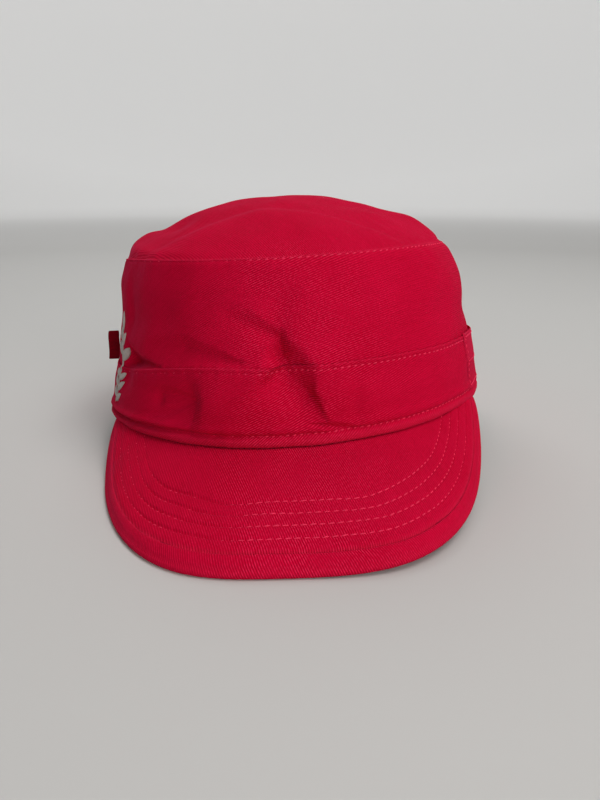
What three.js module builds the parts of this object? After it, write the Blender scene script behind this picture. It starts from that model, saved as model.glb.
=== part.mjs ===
// A soft cotton cadet hat: domed top, tapered side wall, sewn-on band, short peak, strap end and tab.
// Millimetres, +Z up, the peak towards -Y. The hat stands on the tip of its peak and the back of its band,
// leaning a little towards -X, with the cloth flattened where the band rests.
import * as THREE from 'three';

// Cloth gauges, and the clearance that every sewn layer keeps from the next.
const seamGap = 0.3;
const crownCloth = 1.2;
const bandCloth = 1.6;
const strapCloth = 1.0;
const tabCloth = 1.6;
const visorBoard = 3.0;

// Three rings carry the wall. Angle 0 is the front and grows towards +X. Along a ring the height is
// height + frontLift * cos(angle) + sideLift * sin(angle) + saddle * cos(2 * angle).
const rings = {
  hem: {
    halfWidth: 92.4, halfLength: 98.2, shiftX: -2, shiftY: 0,
    height: 13.4, frontLift: 11.8, sideLift: 6.2, saddle: -3,
  },
  bandTop: {
    halfWidth: 88.4, halfLength: 96.4, shiftX: -2.4, shiftY: 1.5,
    height: 43.4, frontLift: 11.4, sideLift: 7.2, saddle: -0.7,
  },
  topSeam: {
    halfWidth: 79, halfLength: 86, shiftX: -7.1, shiftY: 6,
    height: 87.2, frontLift: 10.1, sideLift: 4.1, saddle: -2,
  },
};

// A place on the wall is an angle and a level: 0 at the hem, 1 at the band's top, 2 at the top seam.
const bandRise = 31;
const crownRise = 43;
const meanRadius = 95;
const crownSwell = 1;

// Creases, hollows and swellings of the wall. Depth is outward; across and along are the reach of the
// fall-off in millimetres; lean is the long axis's tilt from upright, towards +X at its upper end.
const folds = [
  { angle: -9, level: 1.41, depth: -1.8, across: 4, along: 13, lean: -64 },   // front crease, upper run
  { angle: 0, level: 1.14, depth: -3, across: 4, along: 9, lean: -25 },       // front crease, lower run
  { angle: 4, level: 0.66, depth: -3, across: 4, along: 10, lean: -32 },      // the same crease in the band
  { angle: 8, level: 0.21, depth: -1.2, across: 3, along: 17, lean: -80 },    // slack above the hem
  { angle: 16, level: 0.58, depth: -0.7, across: 3, along: 9, lean: 0 },      // upright crease of the band
  { angle: -32, level: 0.6, depth: -2.2, across: 7, along: 13, lean: -88 },   // hollow of the band, -X side
  { angle: -52, level: 1.06, depth: -3, across: 4, along: 9, lean: -85 },     // pocket above the band
  { angle: -41, level: 1.3, depth: -1.6, across: 5, along: 17, lean: -73 },   // slanting fold
  { angle: -25, level: 1.13, depth: -1.8, across: 4, along: 18, lean: -75 },  // slanting fold below it
  { angle: -80, level: 1.8, depth: 1.2, across: 5, along: 26, lean: -90 },    // swelling under the top seam
  { angle: -82, level: 1.42, depth: -1.2, across: 8, along: 26, lean: -90 },  // hollow below it
  { angle: 85, level: 1.6, depth: 2.4, across: 13, along: 50, lean: -90 },    // round shoulder, +X side
  { angle: 150, level: 1.3, depth: -2, across: 7, along: 22, lean: -70 },     // slack at the back
  { angle: -150, level: 1.45, depth: -2, across: 7, along: 20, lean: 65 },    // slack at the back
];

// The top panel rises above its seam as domeHeight * (1 - radius ^ domePower), about a peak set off centre.
const domeHeight = 28;
const domePower = 2.26;
const peakShiftX = -5.4;

// Sunken and swollen places of the top panel; all fade out at the seam as 1 - radius ^ dentFade.
const dentFade = 4;
const dents = [
  { angle: -108, radius: 0.62, depth: -4.9, spread: 12.8 },  // sunken place, -X side
  { angle: -80, radius: 0.93, depth: 9, spread: 9.5 },       // swelling by the seam, -X side
  { angle: 85, radius: 0.86, depth: 7.3, spread: 12.5 },     // swelling by the seam, +X side
  { angle: 40, radius: 0.5, depth: -2.6, spread: 20 },       // slack, +X side
];

// The peak runs from the hem between two joins to a rounded outer edge. In plan the edge follows
// |x| ^ frontRound + |y| ^ sideRound = 1; its +X half is tilted up and its -X half lies on the floor.
const visor = {
  joinAngle: 69.8, tipY: -161.2, frontRound: 3.4, sideRound: 1.53, overhang: 0.5,
  tipTop: visorBoard, tilt: 7.1, cornerDrop: 1, cornerPower: 8.3, arch: 2.5,
};

// The strap end lies over the band; the tab stands out of the side wall above it.
const strap = { fromAngle: 62, toAngle: 112, fromLevel: 0.13, toLevel: 1.06 };
const tab = { angle: -82, fromLevel: 1.01, toLevel: 1.27, reach: 6.6 };

// Facets: columns run round the hat or across a piece, rows run up it.
const wallColumns = 80;
const frontCrowding = 0.4;
const crownRows = 11;
const bandRows = 6;
const domeRows = 8;
const visorColumns = 40;
const visorRows = 8;
const strapColumns = 12;
const strapRows = 5;
const tabRows = 4;
const weldGrid = 1e-4;

const clothRed = 0xb0062d;
const tabRed = 0x8a0a1c;
const clothRoughness = 0.9;
const tabRoughness = 0.85;

const radians = THREE.MathUtils.degToRad;

function ringPoint(ring, angle) {
  const rise = ring.frontLift * Math.cos(angle) + ring.sideLift * Math.sin(angle);
  const height = ring.height + rise + ring.saddle * Math.cos(2 * angle);
  return new THREE.Vector3(
    ring.shiftX + ring.halfWidth * Math.sin(angle),
    ring.shiftY - ring.halfLength * Math.cos(angle),
    Math.max(height, 0),
  );
}

function riseAt(level) {
  return level < 1 ? bandRise * level : bandRise + crownRise * (level - 1);
}

// Sum of the folds at a place: each falls off as a bell across and along its own long axis.
function foldDepth(angle, level) {
  let depth = 0;
  for (const fold of folds) {
    const turn = Math.atan2(Math.sin(angle - radians(fold.angle)), Math.cos(angle - radians(fold.angle)));
    const side = turn * meanRadius;
    const up = riseAt(level) - riseAt(fold.level);
    const lean = radians(fold.lean);
    const along = side * Math.sin(lean) + up * Math.cos(lean);
    const across = side * Math.cos(lean) - up * Math.sin(lean);
    depth += fold.depth * Math.exp(-((along / fold.along) ** 2) - (across / fold.across) ** 2);
  }
  return depth;
}

function outwardAt(angle) {
  return new THREE.Vector3(Math.sin(angle), -Math.cos(angle), 0);
}

// A point of the wall, offset outward from the surface between the band and the side wall.
function wallPoint(angle, level, offset) {
  const inBand = level < 1;
  const lower = inBand ? rings.hem : rings.bandTop;
  const upper = inBand ? rings.bandTop : rings.topSeam;
  const share = inBand ? level : level - 1;
  const swell = inBand ? 0 : crownSwell * Math.sin(Math.PI * share);
  const point = ringPoint(lower, angle).lerp(ringPoint(upper, angle), share);
  return point.addScaledVector(outwardAt(angle), offset + swell + foldDepth(angle, level));
}

// A point of the top panel: radius 1 at the seam, 0 at the peak; inset is the depth below the outer face.
function domePoint(angle, radius, inset) {
  const seam = rings.topSeam;
  const peak = new THREE.Vector3(seam.shiftX + peakShiftX, seam.shiftY, seam.height + seamGap);
  const rim = wallPoint(angle, 2, -seamGap - inset);
  rim.z += seamGap;
  const point = peak.lerp(rim, radius);
  point.z += (domeHeight - inset) * (1 - radius ** domePower);
  for (const dent of dents) {
    const middle = ringPoint(seam, radians(dent.angle)).sub(new THREE.Vector3(seam.shiftX, seam.shiftY, 0));
    const away = Math.hypot(
      point.x - seam.shiftX - middle.x * dent.radius,
      point.y - seam.shiftY - middle.y * dent.radius,
    );
    point.z += dent.depth * (1 - radius ** dentFade) * Math.exp(-((away / dent.spread) ** 2));
  }
  return point;
}

// A point of the peak's upper face: side runs -1 to 1 across, reach 0 at the hem and 1 at the outer edge.
function visorPoint(side, reach, drop) {
  const join = radians(visor.joinAngle);
  const leftJoin = ringPoint(rings.hem, -join);
  const rightJoin = ringPoint(rings.hem, join);
  const corner = side < 0 ? leftJoin : rightJoin;
  const sweep = side * Math.PI / 2;
  const sine = Math.sin(sweep);
  const cosine = Math.max(Math.cos(sweep), 0);
  const middleX = (leftJoin.x + rightJoin.x) / 2;
  const halfWidth = (rightJoin.x - leftJoin.x) / 2 + visor.overhang;
  const cornerShare = Math.abs(sine) ** visor.cornerPower;
  const cornerRise = THREE.MathUtils.lerp(visor.tipTop, corner.z - visor.cornerDrop, cornerShare);
  const edge = new THREE.Vector3(
    middleX + halfWidth * Math.sign(sine) * Math.abs(sine) ** (2 / visor.frontRound),
    corner.y + (visor.tipY - corner.y) * cosine ** (2 / visor.sideRound),
    Math.max(cornerRise + visor.tilt * sine * cosine, visor.tipTop),
  );
  const hem = wallPoint(side * join, 0, 0);
  hem.z -= seamGap;
  const point = hem.lerp(edge, reach);
  point.z += visor.arch * 4 * reach * (1 - reach) * cosine - drop;
  return point;
}

// A closed solid between two sheets of points. Columns that come round to their start weld there.
function makeSolid(name, colour, roughness, sheets) {
  const { outer, inner, columns, rows, closed } = sheets;
  const corners = [];
  const triangles = [];
  const known = new Map();
  const cornerOf = (sheet, column, row) => {
    const point = sheet(column, row);
    const key = point.toArray().map((value) => Math.round(value / weldGrid)).join();
    if (!known.has(key)) {
      known.set(key, known.size);
      corners.push(point.x, point.y, point.z);
    }
    return known.get(key);
  };
  const addQuad = (a, b, c, d) => {
    for (const face of [[a, b, c], [a, c, d]]) {
      if (new Set(face).size === 3) {
        triangles.push(...face);
      }
    }
  };
  for (let i = 0; i < columns; i += 1) {
    for (let j = 0; j < rows; j += 1) {
      const facing = [[i, j], [i + 1, j], [i + 1, j + 1], [i, j + 1]];
      const backing = [[i, j], [i, j + 1], [i + 1, j + 1], [i + 1, j]];
      addQuad(...facing.map(([column, row]) => cornerOf(outer, column, row)));
      addQuad(...backing.map(([column, row]) => cornerOf(inner, column, row)));
    }
    for (const [row, start, end] of [[0, i + 1, i], [rows, i, i + 1]]) {
      addQuad(
        cornerOf(outer, start, row), cornerOf(outer, end, row),
        cornerOf(inner, end, row), cornerOf(inner, start, row),
      );
    }
  }
  for (let j = 0; j < rows && !closed; j += 1) {
    for (const [column, start, end] of [[0, j, j + 1], [columns, j + 1, j]]) {
      addQuad(
        cornerOf(outer, column, start), cornerOf(outer, column, end),
        cornerOf(inner, column, end), cornerOf(inner, column, start),
      );
    }
  }
  const geometry = new THREE.BufferGeometry();
  geometry.setAttribute('position', new THREE.Float32BufferAttribute(corners, 3));
  geometry.setIndex(triangles);
  geometry.computeVertexNormals();
  const cloth = new THREE.MeshStandardMaterial({ color: colour, roughness, metalness: 0 });
  const mesh = new THREE.Mesh(geometry, cloth);
  mesh.name = name;
  return mesh;
}

// Columns crowd towards the front, where the creases are.
function columnAngle(column) {
  const turn = ((column % wallColumns) / wallColumns - 0.5) * 2 * Math.PI;
  return turn - frontCrowding * Math.sin(turn);
}

function makeCrownSide() {
  const bandTuck = 1 - 1 / bandRows;
  const levelOf = (row) => (row === 0 ? bandTuck : 1 + (row - 1) / (crownRows - 1));
  return makeSolid('crown_side', clothRed, clothRoughness, {
    outer: (column, row) => wallPoint(columnAngle(column), levelOf(row), -seamGap),
    inner: (column, row) => wallPoint(columnAngle(column), levelOf(row), -seamGap - crownCloth),
    columns: wallColumns, rows: crownRows, closed: true,
  });
}

function makeBand() {
  return makeSolid('band', clothRed, clothRoughness, {
    outer: (column, row) => wallPoint(columnAngle(column), row / bandRows, bandCloth),
    inner: (column, row) => wallPoint(columnAngle(column), row / bandRows, 0),
    columns: wallColumns, rows: bandRows, closed: true,
  });
}

function makeCrownTop() {
  const radiusOf = (row) => 1 - row / domeRows;
  return makeSolid('crown_top', clothRed, clothRoughness, {
    outer: (column, row) => domePoint(columnAngle(column), radiusOf(row), 0),
    inner: (column, row) => domePoint(columnAngle(column), radiusOf(row), crownCloth),
    columns: wallColumns, rows: domeRows, closed: true,
  });
}

function makeVisor() {
  const sideOf = (column) => 2 * column / visorColumns - 1;
  const reachOf = (row) => 1 - row / visorRows;
  return makeSolid('visor', clothRed, clothRoughness, {
    outer: (column, row) => visorPoint(sideOf(column), reachOf(row), 0),
    inner: (column, row) => visorPoint(sideOf(column), reachOf(row), visorBoard),
    columns: visorColumns, rows: visorRows, closed: false,
  });
}

function makeSideStrap() {
  const under = bandCloth + seamGap;
  const angleOf = (column) => radians(
    THREE.MathUtils.lerp(strap.fromAngle, strap.toAngle, column / strapColumns),
  );
  const levelOf = (row) => THREE.MathUtils.lerp(strap.fromLevel, strap.toLevel, row / strapRows);
  return makeSolid('side_strap', clothRed, clothRoughness, {
    outer: (column, row) => wallPoint(angleOf(column), levelOf(row), under + strapCloth),
    inner: (column, row) => wallPoint(angleOf(column), levelOf(row), under),
    columns: strapColumns, rows: strapRows, closed: false,
  });
}

function makeSideTab() {
  const angle = radians(tab.angle);
  const forward = new THREE.Vector3(Math.cos(angle), Math.sin(angle), 0);
  const levelOf = (row) => THREE.MathUtils.lerp(tab.fromLevel, tab.toLevel, row / tabRows);
  const facePoint = (column, row, half) => wallPoint(angle, levelOf(row), column === 0 ? tab.reach : 0)
    .addScaledVector(forward, half);
  return makeSolid('side_tab', tabRed, tabRoughness, {
    outer: (column, row) => facePoint(column, row, tabCloth / 2),
    inner: (column, row) => facePoint(column, row, -tabCloth / 2),
    columns: 1, rows: tabRows, closed: false,
  });
}

// The finished hat is set with the middle of its footprint at the origin.
const hat = new THREE.Group();
hat.add(makeCrownTop(), makeCrownSide(), makeBand(), makeVisor(), makeSideStrap(), makeSideTab());
const footprint = new THREE.Box3().setFromObject(hat);
const middle = footprint.getCenter(new THREE.Vector3());
hat.position.set(-middle.x, -middle.y, -footprint.min.z);

export default hat;
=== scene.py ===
import bmesh
import bpy
import numpy as np
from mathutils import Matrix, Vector


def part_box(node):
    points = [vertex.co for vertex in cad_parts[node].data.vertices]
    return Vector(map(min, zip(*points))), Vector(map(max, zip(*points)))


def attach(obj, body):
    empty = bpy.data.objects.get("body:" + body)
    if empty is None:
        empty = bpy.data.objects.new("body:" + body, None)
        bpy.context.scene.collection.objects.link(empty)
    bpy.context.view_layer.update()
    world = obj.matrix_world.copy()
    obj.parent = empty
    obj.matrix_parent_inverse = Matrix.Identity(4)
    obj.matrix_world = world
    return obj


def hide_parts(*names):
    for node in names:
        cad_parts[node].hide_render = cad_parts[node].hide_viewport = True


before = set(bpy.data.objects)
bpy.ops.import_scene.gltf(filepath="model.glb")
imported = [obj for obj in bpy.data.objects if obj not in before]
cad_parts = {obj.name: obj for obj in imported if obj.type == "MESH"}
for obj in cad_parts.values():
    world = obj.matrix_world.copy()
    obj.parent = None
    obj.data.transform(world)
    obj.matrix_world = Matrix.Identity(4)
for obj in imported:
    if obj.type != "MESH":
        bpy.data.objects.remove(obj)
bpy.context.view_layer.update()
print("frame:", sorted(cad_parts))

# The hat is worked out in millimetres. Angle 0 is the front and grows towards +X.
# Level is 0 at the hem, 1 at the band's top and 2 at the top seam.
hatForm = {
    "hem": dict(halfWidth=92.4, halfLength=98.2, shiftX=-2.0, shiftY=0.0,
                height=13.4, frontLift=11.8, sideLift=6.2, saddle=-3.0),
    "bandTop": dict(halfWidth=88.4, halfLength=96.4, shiftX=-2.4, shiftY=1.5,
                    height=43.4, frontLift=11.4, sideLift=7.2, saddle=-0.7,
                    bumps=[(-24, 15, 1.5), (-63, 15, -2.3), (-2.5, 5, -1.1)]),  # angle, reach, lift
    "topSeam": dict(halfWidth=79.0, halfLength=86.0, shiftX=-7.1, shiftY=6.0,
                    height=87.2, frontLift=10.1, sideLift=4.1, saddle=-2.0),
    "bandRise": 31.0, "crownRise": 43.0, "meanRadius": 95.0, "crownSwell": 1.0,
    "seamGap": 0.3, "crownCloth": 1.2, "bandCloth": 1.6, "visorBoard": 3.0,
    "columns": 560, "crowding": 0.45,
    "rollFrom": 1.9, "rollLeft": 0.2, "rollMore": 1.5,  # the wall's roll inward at the seam, more at right
    "shoulderAngle": 114, "shoulderReach": 24, "shoulderLift": 5.5,  # where the seam stands higher
    "blendBelow": 0.6, "blendOver": 2.6,  # mm over which the band's folds give way to the crown's
    "sideSharpness": 2.2,  # how fast the left half gives way to the right
}

visorTipY = -161.2
visorLow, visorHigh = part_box("visor")
hemMiddleX = hatForm["hem"]["shiftX"]
hatShift = np.array([(visorLow.x + visorHigh.x) * 500 - hemMiddleX, visorLow.y * 1000 - visorTipY, 0.0])
print("hat frame shifted by", hatShift.round(2), "mm")


def ringAt(name, angle):  # an oval ring whose height is a sum of cosines and bumps, never below the floor
    ring = hatForm[name]
    lift = ring["frontLift"] * np.cos(angle) + ring["sideLift"] * np.sin(angle)
    z = ring["height"] + lift + ring["saddle"] * np.cos(2 * angle)
    for middle, reach, bump in ring.get("bumps", ()):
        z = z + bump * nearAngle(angle, middle, reach)
    x = ring["shiftX"] + ring["halfWidth"] * np.sin(angle)
    y = ring["shiftY"] - ring["halfLength"] * np.cos(angle)
    return np.stack([x, y, np.maximum(z, 0)], -1)


def levelAt(rise):  # mm up the wall from the hem, to a level
    band, crown = hatForm["bandRise"], hatForm["crownRise"]
    return np.where(rise < band, rise / band, 1 + (rise - band) / crown)


def riseAt(level):  # a level, to mm up the wall from the hem
    band, crown = hatForm["bandRise"], hatForm["crownRise"]
    return np.where(level < 1, band * level, band + crown * (level - 1))


def bell(x, width):  # 1 at 0, falling off as e to the minus square of x over width
    return np.exp(-(x / width) ** 2)


def smoothStep(share):  # 0 below 0, 1 above 1, an even curve between
    share = np.clip(share, 0, 1)
    return share ** 2 * (3 - 2 * share)


def turnFrom(angle, middle):  # signed turn in radians from a middle given in degrees
    turn = angle - np.radians(middle)
    return np.arctan2(np.sin(turn), np.cos(turn))


def nearAngle(angle, middle, reach):  # a bell about a middle, both of its settings in degrees
    return bell(np.degrees(turnFrom(angle, middle)), reach)


# Soft hollows and swellings: angle, level, depth outward, reach across and along, lean from upright.
softFolds = [
    (-30, 0.62, -0.8, 8, 12, -88),
    (-39.5, 0.54, -1.3, 2.6, 3.2, 0),
    (-58, 0.84, -1.8, 7, 8, -25),
    (-20, 0.58, 2.4, 12, 13, 0),
    (-80, 1.80, 1.2, 5, 26, -90),
    (-82, 1.42, -1.2, 8, 26, -90),
    (82, 1.66, 3.6, 13, 46, -90),
    (21, 1.38, -0.5, 9, 24, 8),
    (150, 1.30, -2.0, 7, 22, -70),
    (-150, 1.45, -2.0, 7, 20, 65),
]

# Creases: from angle and level, to angle and level, depth at both ends, the width at both ends of the flank
# that climbs away on the left of that way, the width of the short flank on its right, and how soft it is.
crownCreases = [
    (-15, 1.46, -2.5, 1.29, 0.8, 4.0, 6.0, 6.0, 5.0, 1.0),
    (-1.2, 1.68, -2.2, 1.28, 0.2, 2.4, 9.0, 7.0, 8.0, 2.5),
    (-2.2, 1.27, -2.2, 1.10, 4.6, 7.8, 4.4, 9.0, 5.0, 0.6),
    (-2.2, 1.10, 0.2, 0.975, 7.6, 6.6, 8.0, 8.6, 4.0, 0.5),
    (-48, 1.27, -30.8, 1.17, 0.6, 2.4, 8.0, 7.0, 6.0, 2.5),
    (-30.8, 1.17, -14, 1.055, 2.4, 1.6, 7.0, 1.5, 5.0, 1.2),
    (-58, 1.47, -25, 1.42, 2.6, 0.6, 20.0, 9.0, 8.0, 3.0),
    (-60, 1.03, -41.5, 1.015, 7.0, 4.0, 10.0, 0.8, 1.0, 0.3),
    (46, 1.98, 48, 1.84, 0.5, 0.2, 1.6, 1.6, 1.6, 0.4),
    (51, 1.98, 56, 1.80, 0.6, 0.2, 1.6, 1.8, 1.6, 0.4),
    (-62, 1.98, -58, 1.82, 0.5, 0.2, 1.8, 1.8, 1.6, 0.4),
    (118, 1.20, 152, 1.52, 0.6, 1.6, 5.0, 7.0, 4.0, 1.5),
    (-140, 1.42, -112, 1.16, 0.5, 1.5, 4.0, 6.0, 5.0, 1.5),
    (168, 1.10, 196, 1.22, 1.2, 0.9, 5.0, 4.0, 3.0, 1.5),
    (186, 1.34, 200, 1.04, 0.4, 2.2, 6.0, 5.0, 4.0, 1.5),
    (128, 1.32, 136, 1.04, 0.4, 2.0, 6.0, 5.0, 4.0, 1.5),
    (72, 1.30, 98, 1.08, 0.4, 1.6, 6.0, 6.0, 5.0, 1.8),
    (-98, 1.62, -122, 1.36, 0.4, 1.4, 7.0, 7.0, 6.0, 2.0),
]
bandCreases = [
    (-2.0, 0.985, 5.2, 0.60, 7.8, 5.6, 19.5, 2.6, 12.0, 0.4),
    (5.2, 0.60, 8.4, 0.333, 5.6, 1.4, 2.4, 1.0, 13.0, 0.35),
    (17, 0.92, 17.2, 0.26, 0.5, 0.7, 2.5, 2.5, 4.0, 0.8),
    (-1.5, 0.30, 6.8, 0.25, 1.0, 2.8, 2.0, 2.0, 1.2, 0.3),
    (6.8, 0.25, 17, 0.155, 2.8, 0.4, 2.0, 2.0, 1.2, 0.3),
    (-28.2, 0.85, -26.4, 0.56, 0.8, 4.2, 6.5, 5.4, 26.0, 0.8),
    (-26.4, 0.56, -27.0, 0.28, 4.2, 2.2, 5.4, 6.0, 26.0, 0.8),
]


creaseEase = {"least": 0.012, "bySoft": 0.03, "endFade": 3.0}  # a corner's rounding, mm of end fade


def creaseAt(x, y, startX, startY, endX, endY, depthA, depthB, climbA, climbB, fall, soft):
    # falls as a bell to a line, then climbs straight to a corner, both eased by soft; faded beyond both ends
    length = np.hypot(endX - startX, endY - startY)
    wayX, wayY = (endX - startX) / length, (endY - startY) / length
    along = (x - startX) * wayX + (y - startY) * wayY
    across = (y - startY) * wayX - (x - startX) * wayY
    within = np.clip(along / length, 0, 1)
    past = (across + np.sqrt(across ** 2 + soft ** 2)) / 2
    ramp = 1 - past / (climbA + (climbB - climbA) * within)
    ramp = (ramp + np.sqrt(ramp ** 2 + creaseEase["least"] + creaseEase["bySoft"] * soft)) / 2
    depth = depthA + (depthB - depthA) * within
    depth = depth * bell(along - within * length, creaseEase["endFade"] + soft)
    return -depth * ramp * bell(past - across, fall)


def creaseRelief(side, up, rows):  # the deepest of some creases at each place
    relief = np.zeros(np.broadcast(side, up).shape)
    radius = hatForm["meanRadius"]
    around = 2 * np.pi * radius
    for angleA, levelA, angleB, levelB, *shape in rows:
        startS, endS = np.radians(angleA) * radius, np.radians(angleB) * radius
        near = (side - startS + around / 2) % around - around / 2 + startS
        crease = creaseAt(near, up, startS, riseAt(levelA), endS, riseAt(levelB), *shape)
        relief = np.minimum(relief, crease)
    return relief


slackWaves = {"seed": 7, "count": 14, "shortest": 16.0, "longest": 52.0, "height": 0.088}


def slackRelief(side, up):  # a sum of long low waves with seeded directions, so no cloth is quite even
    draw = np.random.default_rng(slackWaves["seed"])
    relief = 0 * (side + up)
    for _ in range(slackWaves["count"]):
        wavelength = draw.uniform(slackWaves["shortest"], slackWaves["longest"])
        turn, phase = draw.uniform(0, np.pi), draw.uniform(0, 2 * np.pi)
        wave = np.cos(turn) * side + np.sin(turn) * up
        relief = relief + slackWaves["height"] * np.sin(2 * np.pi * wave / wavelength + phase)
    return relief


def wallRelief(angle, level):  # outward relief shared by every layer of the wall
    side, up = angle * hatForm["meanRadius"], riseAt(level)
    crownShare = smoothStep((up - hatForm["bandRise"] + hatForm["blendBelow"]) / hatForm["blendOver"])
    relief = creaseRelief(side, up, bandCreases) * (1 - crownShare)
    relief = relief + creaseRelief(side, up, crownCreases) * crownShare + slackRelief(side, up)
    for middle, height, depth, across, along, lean in softFolds:
        away = turnFrom(angle, middle) * hatForm["meanRadius"]
        rise = up - riseAt(height)
        tilt = np.radians(lean)
        alongAxis = away * np.sin(tilt) + rise * np.cos(tilt)
        acrossAxis = away * np.cos(tilt) - rise * np.sin(tilt)
        relief = relief + depth * bell(alongAxis, along) * bell(acrossAxis, across)
    return relief


def rightShare(angle):  # 0 over the left half, 1 over the right
    return 0.5 + 0.5 * np.tanh(hatForm["sideSharpness"] * np.sin(angle))


def wallAt(angle, level, offset):
    # between two rings in a straight line, pushed outward by offset, swell and relief, rolled in at the seam
    angle, level = np.broadcast_arrays(angle, level)
    low, high = np.clip(level, 0, 1)[..., None], np.clip(level - 1, 0, 1)[..., None]
    hem, bandTop, topSeam = (ringAt(name, angle) for name in ("hem", "bandTop", "topSeam"))
    point = hem + (bandTop - hem) * low + (topSeam - bandTop) * high
    swell = hatForm["crownSwell"] * np.sin(np.pi * high[..., 0])
    nearSeam = np.clip((level - hatForm["rollFrom"]) / (2 - hatForm["rollFrom"]), 0, 1)
    rollIn = (hatForm["rollLeft"] + hatForm["rollMore"] * rightShare(angle)) * nearSeam ** 2
    push = offset + swell + wallRelief(angle, level) - rollIn
    outward = np.stack([np.sin(angle), -np.cos(angle), 0 * angle], -1)
    shoulder = nearAngle(angle, hatForm["shoulderAngle"], hatForm["shoulderReach"])
    point[..., 2] += hatForm["shoulderLift"] * shoulder * high[..., 0] ** 2
    return point + outward * push[..., None]


puckerLook = {  # two ripples in radians a mm, the first one's wander, and the height and reach of both
    "wave": 0.93, "wander": 1.7, "wanderWave": 0.047, "finer": 0.6, "finerWave": 1.61, "finerStart": 1.1,
    "height": 0.11, "reach": 3.5,
}


def seamPucker(side, away):  # short uneven ripples that die out a few mm from a row of stitches
    look = puckerLook
    ripple = np.sin(side * look["wave"] + look["wander"] * np.sin(side * look["wanderWave"]))
    ripple = ripple + look["finer"] * np.sin(side * look["finerWave"] + look["finerStart"])
    return look["height"] * ripple * np.exp(-np.abs(away) / look["reach"])


def wallColumns(count, crowding):  # angles round the hat, closer together at the front, the join repeated
    turn = np.linspace(-np.pi, np.pi, count + 1)
    return turn - crowding * np.sin(turn)


def waleUv(side, up, wale):  # cloth coordinates in mm, turned so that the first one runs along the wales
    turn = np.radians(wale)
    return np.stack([side * np.cos(turn) + up * np.sin(turn), up * np.cos(turn) - side * np.sin(turn)], -1)


def waleBend(angle, waleTurn):  # lowers the wales' slope by waleTurn times the sine of the angle
    return waleTurn * hatForm["meanRadius"] * np.cos(angle)


def bendSteps(count):  # the turns inside a half round, without its two ends
    return np.linspace(0, np.pi, count)[1:-1]


def pathLength(points):  # running length along the last grid direction
    step = np.linalg.norm(np.diff(points, axis=-2), axis=-1)
    return np.concatenate([np.zeros(step.shape[:-1] + (1,)), np.cumsum(step, -1)], -1)


def profileLength(rise, out):  # running length along a profile
    return np.concatenate([[0], np.cumsum(np.hypot(np.diff(rise), np.diff(out)))])[None, :]


def unit(vectors):  # the same ways with length 1
    return vectors / np.linalg.norm(vectors, axis=-1, keepdims=True)


litWeavePlace = {"middle": 2.0, "reach": 34.0, "from": 58.0, "over": 30.0}


def litWeaveShare(points):  # how strong the weave's painted light, shade and highlight are: 1 at the middle of the front, falling to 0 round the sides
    forward = smoothStep((-points[:, 1] - litWeavePlace["from"]) / litWeavePlace["over"])
    return bell(points[:, 0] - litWeavePlace["middle"], litWeavePlace["reach"]) * forward


def addValues(mesh, name, values):  # a number at each point, for the materials to read
    attribute = mesh.attributes.new(name, "FLOAT", "POINT")
    attribute.data.foreach_set("value", np.ascontiguousarray(values, np.float32))


def addObject(name, data):
    made = bpy.data.objects.new(name, data)
    bpy.context.scene.collection.objects.link(made)
    return made


def finishPiece(name, points, quads, uvs, rub, material, replaced):
    # one mesh from point, quad and corner uv arrays, wound so that its volume is positive
    # how strong the weave's painted light, shade and highlight are here, kept at each point for the material
    litWeave = litWeaveShare(points)
    points = (points + hatShift) * 0.001
    p, q, r, s = (points[quads[:, k]] for k in range(4))
    if (p * (np.cross(q, r) + np.cross(r, s))).sum() < 0:
        quads, uvs = quads[:, ::-1], uvs[:, ::-1]
    mesh = bpy.data.meshes.new(name)
    mesh.from_pydata(points.tolist(), [], quads.tolist())
    mesh.uv_layers.new(name="cloth").data.foreach_set("uv", np.ascontiguousarray(uvs, np.float32).ravel())
    addValues(mesh, "rub", rub)
    addValues(mesh, "litWeave", litWeave)
    weld = bmesh.new()
    weld.from_mesh(mesh)
    bmesh.ops.remove_doubles(weld, verts=weld.verts, dist=1e-7)
    bmesh.ops.dissolve_degenerate(weld, edges=weld.edges, dist=1e-8)
    weld.to_mesh(mesh)
    weld.free()
    mesh.polygons.foreach_set("use_smooth", np.ones(len(mesh.polygons), bool))
    mesh.materials.append(material)
    piece = addObject(name, mesh)
    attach(piece, "root")
    if replaced:
        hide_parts(replaced)
    print(name, len(mesh.polygons), "faces")


def gridPiece(name, points, uv, rub, material, replaced, roundU=False, roundV=False, caps=False):
    # a sheet of quads over a grid; a round direction's last line repeats its first and is joined to it;
    # caps close the first and the last line by pairing their points off
    lines, rows = points.shape[0] - roundU, points.shape[1] - roundV
    i, j = (a.ravel() for a in np.mgrid[0:points.shape[0] - 1, 0:points.shape[1] - 1])
    corners = [(i, j), (i + 1, j), (i + 1, j + 1), (i, j + 1)]
    quads = np.stack([a % lines * rows + b % rows for a, b in corners], -1)
    uvs = np.stack([uv[a, b] for a, b in corners], 1)
    if caps:
        k = np.arange(rows // 2 - 1)
        pairs = [k, k + 1, rows - 2 - k, rows - 1 - k]
        for line, order in ((0, pairs), (lines - 1, pairs[::-1])):
            quads = np.concatenate([quads, np.stack([line * rows + m for m in order], -1)])
            uvs = np.concatenate([uvs, np.stack([uv[line, m] for m in order], 1)])
    kept = points[:lines, :rows].reshape(-1, 3)
    finishPiece(name, kept, quads, uvs, rub[:lines, :rows].ravel(), material, replaced)


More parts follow.
